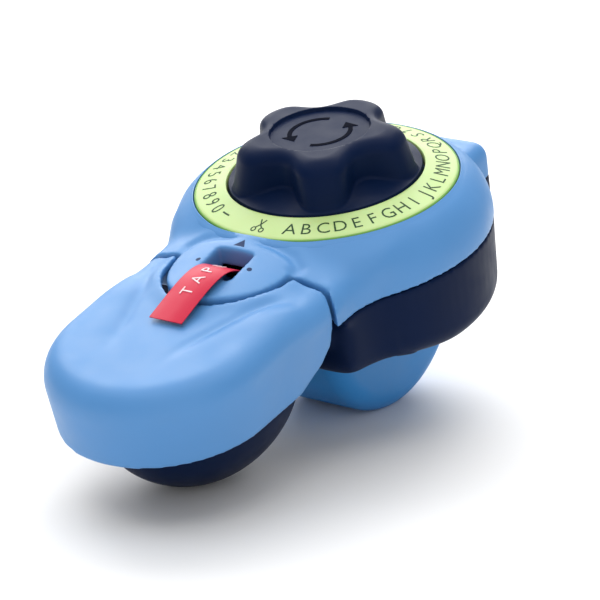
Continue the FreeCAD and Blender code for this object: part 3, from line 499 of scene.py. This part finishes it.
def knob_piece():
    """Plump five-lobed grip on its flat disc, one closed skin from socket to dish."""
    around = 360
    angle = np.arange(around) / around * 2.0 * math.pi
    full = np.ones(around)
    socket, under = 4.0, -1.2
    # socket, underside and rim of the disc
    rings = [(socket * full, 6.0 * full), (socket * full, under * full)]
    rings += [((DISC_RIM - 0.3) * full, under * full), (DISC_RIM * full, (under + 0.3) * full)]
    rings += [(DISC_RIM * full, (DISC_LEVEL - 0.5) * full),
              ((DISC_RIM - 0.15) * full, (DISC_LEVEL - 0.15) * full)]
    # the disc's cone, curling up into the lobes' foot
    foot, curl = knob_outline(angle, DISC_LEVEL + 1.0), 0.7
    disc_edge = DISC_RIM - 0.2
    for share in (0.0, 0.5):
        radius = np.minimum(disc_edge, disc_edge * (1 - share) + (foot + curl) * share)
        rings.append((radius, disc_level(radius)))
    for share in (0.0, 0.3, 0.6, 0.8, 0.95):
        turn = share * math.pi / 2
        away = curl * (1.0 - math.sin(turn))
        radius = np.minimum(foot + away, DISC_RIM - 0.25 - 0.1 * share)
        rings.append((radius, disc_level(radius) + curl * (1.0 - math.cos(turn))))
    # the lobes' sides, their rounded shoulder and the flat top with its dish
    base, shoulder = rings[-1][1], KNOB_TOP - KNOB_ROUNDING
    lowest = DISC_LEVEL + curl + 1.0
    for share in np.linspace(0.0, 1.0, 16)[1:]:
        level = lowest + (shoulder - lowest) * share
        rings.append((knob_outline(angle, level), base + (shoulder - base) * share))
    for turn in np.linspace(0.0, math.pi / 2, 18)[1:]:
        height = KNOB_TOP - KNOB_ROUNDING * (1.0 - math.sin(turn))
        inset = KNOB_ROUNDING * (1.0 - math.cos(turn))
        rings.append((knob_outline(angle, height, inset), height * full))
    inner = rings[-1][0]
    for share in np.linspace(0.0, 0.985, 110)[1:]:
        rings.append((inner * (1.0 - share), KNOB_TOP * full))
    points = []
    for radius, height in rings:
        sunk = DISH_DEPTH * ramp(-radius, -DISH_RADIUS, -DISH_RADIUS + 0.3)
        level = height - np.where(height > 11.0, sunk, 0.0)
        points.append(np.column_stack([radius * np.cos(angle), radius * np.sin(angle), level]))
    return add_piece("knob_grip", np.vstack(points), ring_faces(len(rings), around),
                     MATERIALS["dark_shell"], "wheel", sharp=50.0)


def turn_marks():
    """Two curved arrows in the dish, showing that the knob turns both ways."""
    floor, radius, half_head = KNOB_TOP - DISH_DEPTH, 7.3, 1.9
    parts = []
    for start in (15.0, 195.0):
        angles = np.radians(np.linspace(start, start + 118.0, 28))
        parts.append(stroke(np.column_stack([np.cos(angles), np.sin(angles)]) * radius, 1.1,
                            floor - 0.1, floor + 0.1))
        tip = math.radians(start + 140.0)
        back = math.radians(start + 116.0)
        outer, inner = radius + half_head, radius - half_head
        head = [(radius * math.cos(tip), radius * math.sin(tip)),
                (outer * math.cos(back), outer * math.sin(back)),
                (inner * math.cos(back), inner * math.sin(back))]
        parts.append(solid_outline(head, floor - 0.1, floor + 0.1))
    points, faces = merge(parts)
    return add_piece("knob_turn_marks", points, faces, KNOB_MARK, "wheel")


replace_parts(knob_piece(), "knob")
turn_marks()


# ---------------------------------------------------------------- dial and its characters

DIAL_POSITIONS = 45
DIAL_STEPS = 240
CONE_EDGE, CONE_LIP, CONE_SLOPE = 31.5, 0.1, 0.25
LETTER_RADIUS = 28.1


def cone_height(radius):
    """Height of the dial's face at a radius."""
    return CONE_LIP + (CONE_EDGE - radius) * CONE_SLOPE


def dial_ring():
    """The letter ring, its edges rolled over."""
    outline = [(23.9, -1.15), (31.75, -1.15), (32.0, -0.95), (32.0, -0.55), (31.9, -0.3),
               (31.55, 0.0), (31.3, cone_height(31.3)), (30.9, cone_height(30.9)),
               (24.9, cone_height(24.9)), (24.45, cone_height(24.45)), (24.1, 1.80),
               (23.95, 1.55), (23.9, 1.2)]
    points, faces = revolved(outline, DIAL_STEPS)
    return add_piece("dial_letter_ring", points, faces, MATERIALS["dial_green"],
                     "wheel", sharp=28.0)


def on_dial(points, place, lift):
    """Flat letter points, x across and y towards the centre, laid on the dial's cone."""
    angle = math.radians(180.0 + place * 360.0 / DIAL_POSITIONS)
    radius = LETTER_RADIUS - points[:, 1]
    turned = angle + points[:, 0] / LETTER_RADIUS
    height = cone_height(radius) + lift * (2.0 * points[:, 2] - 1.0)
    return np.column_stack([radius * np.cos(turned), radius * np.sin(turned), height])


def scissors():
    """The cut mark: two blades crossed, with a ring for each finger."""
    parts = []
    for side in (-1, 1):
        parts.append(stroke([(0.85 * side, -0.75), (0.0, 0.35), (-0.75 * side, 2.05)], 0.34,
                            0.0, 1.0))
        turn = np.radians(np.arange(0.0, 361.0, 15.0))
        loop = np.column_stack([1.02 * side + 0.52 * np.cos(turn), -1.32 + 0.66 * np.sin(turn)])
        parts.append(stroke(loop, 0.28, 0.0, 1.0))
    points, faces = merge(parts)
    return np.array(points), faces


def dial_characters():
    """Letters, numbers and signs printed round the ring, tops towards the knob."""
    places = [(2 + number, letter) for number, letter in enumerate("ABCDEFGHIJKLMNOPQRSTUVWXYZ")]
    places += [(28, "&"), (29, "/"), (30, "+"), (31, ".")]
    places += [(32 + number, digit) for number, digit in enumerate("1234567890")]
    parts = []
    for place, text in places:
        points, faces = letter_mesh(text, 3.7, -0.006)
        points[:, 0] *= 0.95
        parts.append((on_dial(points, place, 0.05), faces))
    dash = np.linspace(-1.35, 1.35, 8)
    for place, (points, faces) in ((0, scissors()),
                                   (42, stroke(np.column_stack([dash, 0 * dash]), 0.42, 0, 1))):
        parts.append((on_dial(np.array(points), place, 0.05), faces))
    points, faces = merge(parts)
    return add_piece("dial_characters", points, faces, PRINT_GREEN, "wheel")


def dial_edge():
    """The rolled outer edge of the ring, in a deeper green."""
    outline = [(31.4, -0.3), (32.03, -0.9), (32.06, -0.4), (32.0, -0.22), (31.85, -0.06),
               (31.7, 0.0)]
    points, faces = revolved(outline, DIAL_STEPS)
    return add_piece("dial_outer_edge", points, faces, EDGE_GREEN, "wheel",
                     sharp=60.0)


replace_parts(dial_ring(), "dial_ring")
dial_edge()
dial_characters()


# ---------------------------------------------------------------- marks on the tongue

def surface_height(x, y):
    """Height of the housing shell under a point, in the dial frame."""
    start = to_row([[x, y, 20.0]])[0]
    hit = SHELL_TREE.ray_cast(Vector(start), -dial_axis)[0]
    return to_dial([hit])[0][2]


def tongue_marks():
    """The arrow that reads the dial, and a dot each side of the tape window."""
    parts = []
    sunk, thick, dot = 0.25, 0.29, 0.62
    shapes = [[(-34.4, 0.0), (-37.0, 1.5), (-37.0, -1.5)]]
    turn = np.radians(np.arange(0.0, 360.0, 20.0))
    for side in (-1, 1):
        shapes.append([(-43.5 + dot * math.cos(step), 7.2 * side + dot * math.sin(step))
                       for step in turn])
    for shape in shapes:
        points, faces = solid_outline(shape, 0.0, 1.0)
        parts.append(([(x, y, surface_height(x, y) - sunk + thick * level)
                       for x, y, level in points], faces))
    points, faces = merge(parts)
    return add_piece("tongue_marks", points, faces, MARK_BLUE, "root")


shell = bpy.data.objects["housing_shell"]
SHELL_TREE = BVHTree.FromPolygons([vertex.co for vertex in shell.data.vertices],
                                  [face.vertices for face in shell.data.polygons])
tongue_marks()


def seat_rim():
    """The crisp round lip of the housing where the dial ring sits in it."""
    around, reach = 300, 6
    inner, outer = 33.1, 33.8
    angle = np.arange(around) / around * 2.0 * math.pi
    levels = []
    for radius in (inner, outer):
        raw = [surface_height(radius * math.cos(turn), radius * math.sin(turn)) for turn in angle]
        wrapped = np.array(raw[-reach:] + raw + raw[:reach])
        spread = np.full(2 * reach + 1, 1.0 / (2 * reach + 1))
        levels.append(np.convolve(wrapped, spread, "valid"))
    near, far = levels
    lip = near + (near - far)
    profile = [(33.6, far - 0.9), (32.3, lip - 1.2), (32.3, lip - 0.12), (32.33, lip - 0.02),
               (32.45, lip + 0.03), (inner, near + 0.03), (outer, far - 0.02),
               (34.2, far - 0.5)]
    points, faces = revolved(profile, around)
    return add_piece("housing_seat_rim", points, faces, MATERIALS["light_shell"], "root",
                     sharp=50.0)


seat_rim()


# ---------------------------------------------------------------- tape

def smooth_path(corners, steps):
    """A smooth line through the corners, as even points with their distance along it."""
    corners = np.asarray(corners, float)
    padded = np.vstack([2 * corners[0] - corners[1], corners, 2 * corners[-1] - corners[-2]])
    path = []
    for number in range(1, len(padded) - 2):
        before, start, end, after = padded[number - 1:number + 3]
        for t in np.linspace(0.0, 1.0, steps, endpoint=False):
            path.append(0.5 * (2 * start + (end - before) * t
                               + (2 * before - 5 * start + 4 * end - after) * t ** 2
                               + (3 * start - before - 3 * end + after) * t ** 3))
    path.append(corners[-1])
    path = np.array(path)
    along = np.concatenate([[0.0], np.cumsum(np.linalg.norm(np.diff(path, axis=0), axis=1))])
    return path, along


LEVEL = -10.8       # height of the tape under the dies
GUIDE = (22.0, -15.1)
WRAP = 4.3          # radius of the tape's middle round the guide roller
TAPE_CORNERS = [(GUIDE[0] - 0.6, -31.0), (GUIDE[0] + 4.0, GUIDE[1] - 6.0)]
for degrees in np.linspace(0.0, 90.0, 7):
    TAPE_CORNERS.append((GUIDE[0] + WRAP * math.cos(math.radians(degrees)),
                         GUIDE[1] + WRAP * math.sin(math.radians(degrees))))
TAPE_CORNERS += [(8.0, LEVEL), (-8.0, LEVEL), (-20.0, LEVEL), (-30.0, LEVEL),
                 (-33.0, LEVEL + 0.75), (-38.0, -6.5), (-41.6, -3.7), (-45.0, -1.45),
                 (-48.2, -0.45), (-51.4, -0.35), (-54.8, -0.8), (-58.6, -1.65),
                 (-62.6, -2.7), (-66.8, -3.85)]
TAPE_PATH, TAPE_ALONG = smooth_path(TAPE_CORNERS, 10)
TAPE_LENGTH = TAPE_ALONG[-1]


def on_tape(along, across, lift):
    """Points at distances along the tape, across it and above its middle."""
    along = np.asarray(along, float)
    middle = np.column_stack([np.interp(along, TAPE_ALONG, TAPE_PATH[:, axis]) for axis in (0, 1)])
    ahead = np.column_stack([np.interp(along + 0.4, TAPE_ALONG, TAPE_PATH[:, axis])
                             - np.interp(along - 0.4, TAPE_ALONG, TAPE_PATH[:, axis])
                             for axis in (0, 1)])
    ahead /= np.linalg.norm(ahead, axis=1)[:, None]
    x = middle[:, 0] + ahead[:, 1] * lift
    z = middle[:, 1] - ahead[:, 0] * lift
    return np.column_stack([x, np.asarray(across, float), z])


def tape_piece():
    """The vinyl strip, its long edges a little rounded."""
    half, thick = 4.5, 0.125
    section = [(-half, -thick * 0.6), (-half + 0.06, -thick), (half - 0.06, -thick),
               (half, -thick * 0.6), (half, thick * 0.6), (half - 0.06, thick),
               (-half + 0.06, thick), (-half, thick * 0.6)]
    rings = np.linspace(0.0, TAPE_LENGTH, 260)
    points = []
    for along in rings:
        across = np.array([y for y, _ in section])
        lift = np.array([z for _, z in section])
        points.append(on_tape(np.full(len(section), along), across, lift))
    return add_piece("tape_ribbon", np.vstack(points), ring_faces(len(rings), len(section)),
                     MATERIALS["tape_red"], "root", sharp=50.0)


def tape_characters():
    """Raised letters, stretched white by the dies, first one at the free end."""
    first, pitch = TAPE_LENGTH - 9.6, 4.3
    parts = []
    for number, text in enumerate("TAPE"):
        points, faces = letter_mesh(text, 3.1, -0.008)
        along = first - number * pitch - points[:, 0]
        parts.append((on_tape(along, points[:, 1] + 0.3, 0.08 + 0.24 * points[:, 2]), faces))
    points, faces = merge(parts)
    return add_piece("tape_characters", points, faces, EMBOSSED, "root")


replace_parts(tape_piece(), "tape_strip")
tape_characters()


# ---------------------------------------------------------------- floor, light and camera

def floor():
    """Plain pale table top under the tool."""
    mesh = bpy.data.meshes.new("table")
    half = 3.0
    mesh.from_pydata([(-half, -half, 0), (half, -half, 0), (half, half, 0), (-half, half, 0)], [],
                     [(0, 1, 2, 3)])
    table = bpy.data.objects.new("table", mesh)
    bpy.context.scene.collection.objects.link(table)
    mesh.materials.append(moulded_material("table_pale", (0.90, 0.90, 0.90), 0.75, 0.01,
                                           grain=60.0, swirl=3.0))


def area_light(name, position, target, width, power):
    """A soft square light aimed at a point."""
    data = bpy.data.lights.new(name, "AREA")
    data.size = width
    data.energy = power
    light = bpy.data.objects.new(name, data)
    bpy.context.scene.collection.objects.link(light)
    light.location = position
    light.rotation_mode = "QUATERNION"
    light.rotation_quaternion = (Vector(target) - Vector(position)).to_track_quat("-Z", "Y")


def studio():
    """A bright even room with a large light overhead and a softer one behind the camera."""
    world = bpy.data.worlds.new("studio")
    bpy.context.scene.world = world
    world.use_nodes = True
    background = world.node_tree.nodes["Background"]
    background.inputs["Color"].default_value = (1.0, 1.0, 1.0, 1.0)
    background.inputs["Strength"].default_value = 0.47
    middle = (0.0, 0.0, 0.03)
    area_light("overhead", (0.05, 0.10, 1.15), middle, 1.7, 12.0)
    area_light("behind", (0.75, 0.60, 0.80), middle, 1.3, 15.0)
    area_light("front", (-0.80, -0.75, 0.55), middle, 1.2, 2.6)
    bpy.context.scene.view_settings.view_transform = "Standard"


def camera():
    """The camera at the photograph's viewing angle, given in the dial's frame."""
    azimuth, elevation, roll = (math.radians(value) for value in (-52.53, 27.94, -8.16))
    distance, slide, rise = 622.2, -6.284, -29.17
    right = np.array([math.cos(azimuth), math.sin(azimuth), 0.0])
    back = np.array([math.sin(azimuth) * math.cos(elevation),
                     -math.cos(azimuth) * math.cos(elevation), math.sin(elevation)])
    up = np.cross(back, right)
    level = math.cos(roll) * right + math.sin(roll) * up
    upright = -math.sin(roll) * right + math.cos(roll) * up
    place = level * slide + upright * rise + back * distance
    turn = DIAL_TURN @ np.column_stack([level, upright, back])
    data = bpy.data.cameras.new("camera")
    data.sensor_width = 36.0
    data.lens = 155.8
    data.clip_start, data.clip_end = 0.05, 20.0
    seat = bpy.data.objects.new("camera", data)
    bpy.context.scene.collection.objects.link(seat)
    matrix = Matrix(turn.tolist()).to_4x4()
    matrix.translation = Vector(to_row([place])[0])
    seat.matrix_world = matrix
    bpy.context.scene.camera = seat


floor()
studio()
camera()
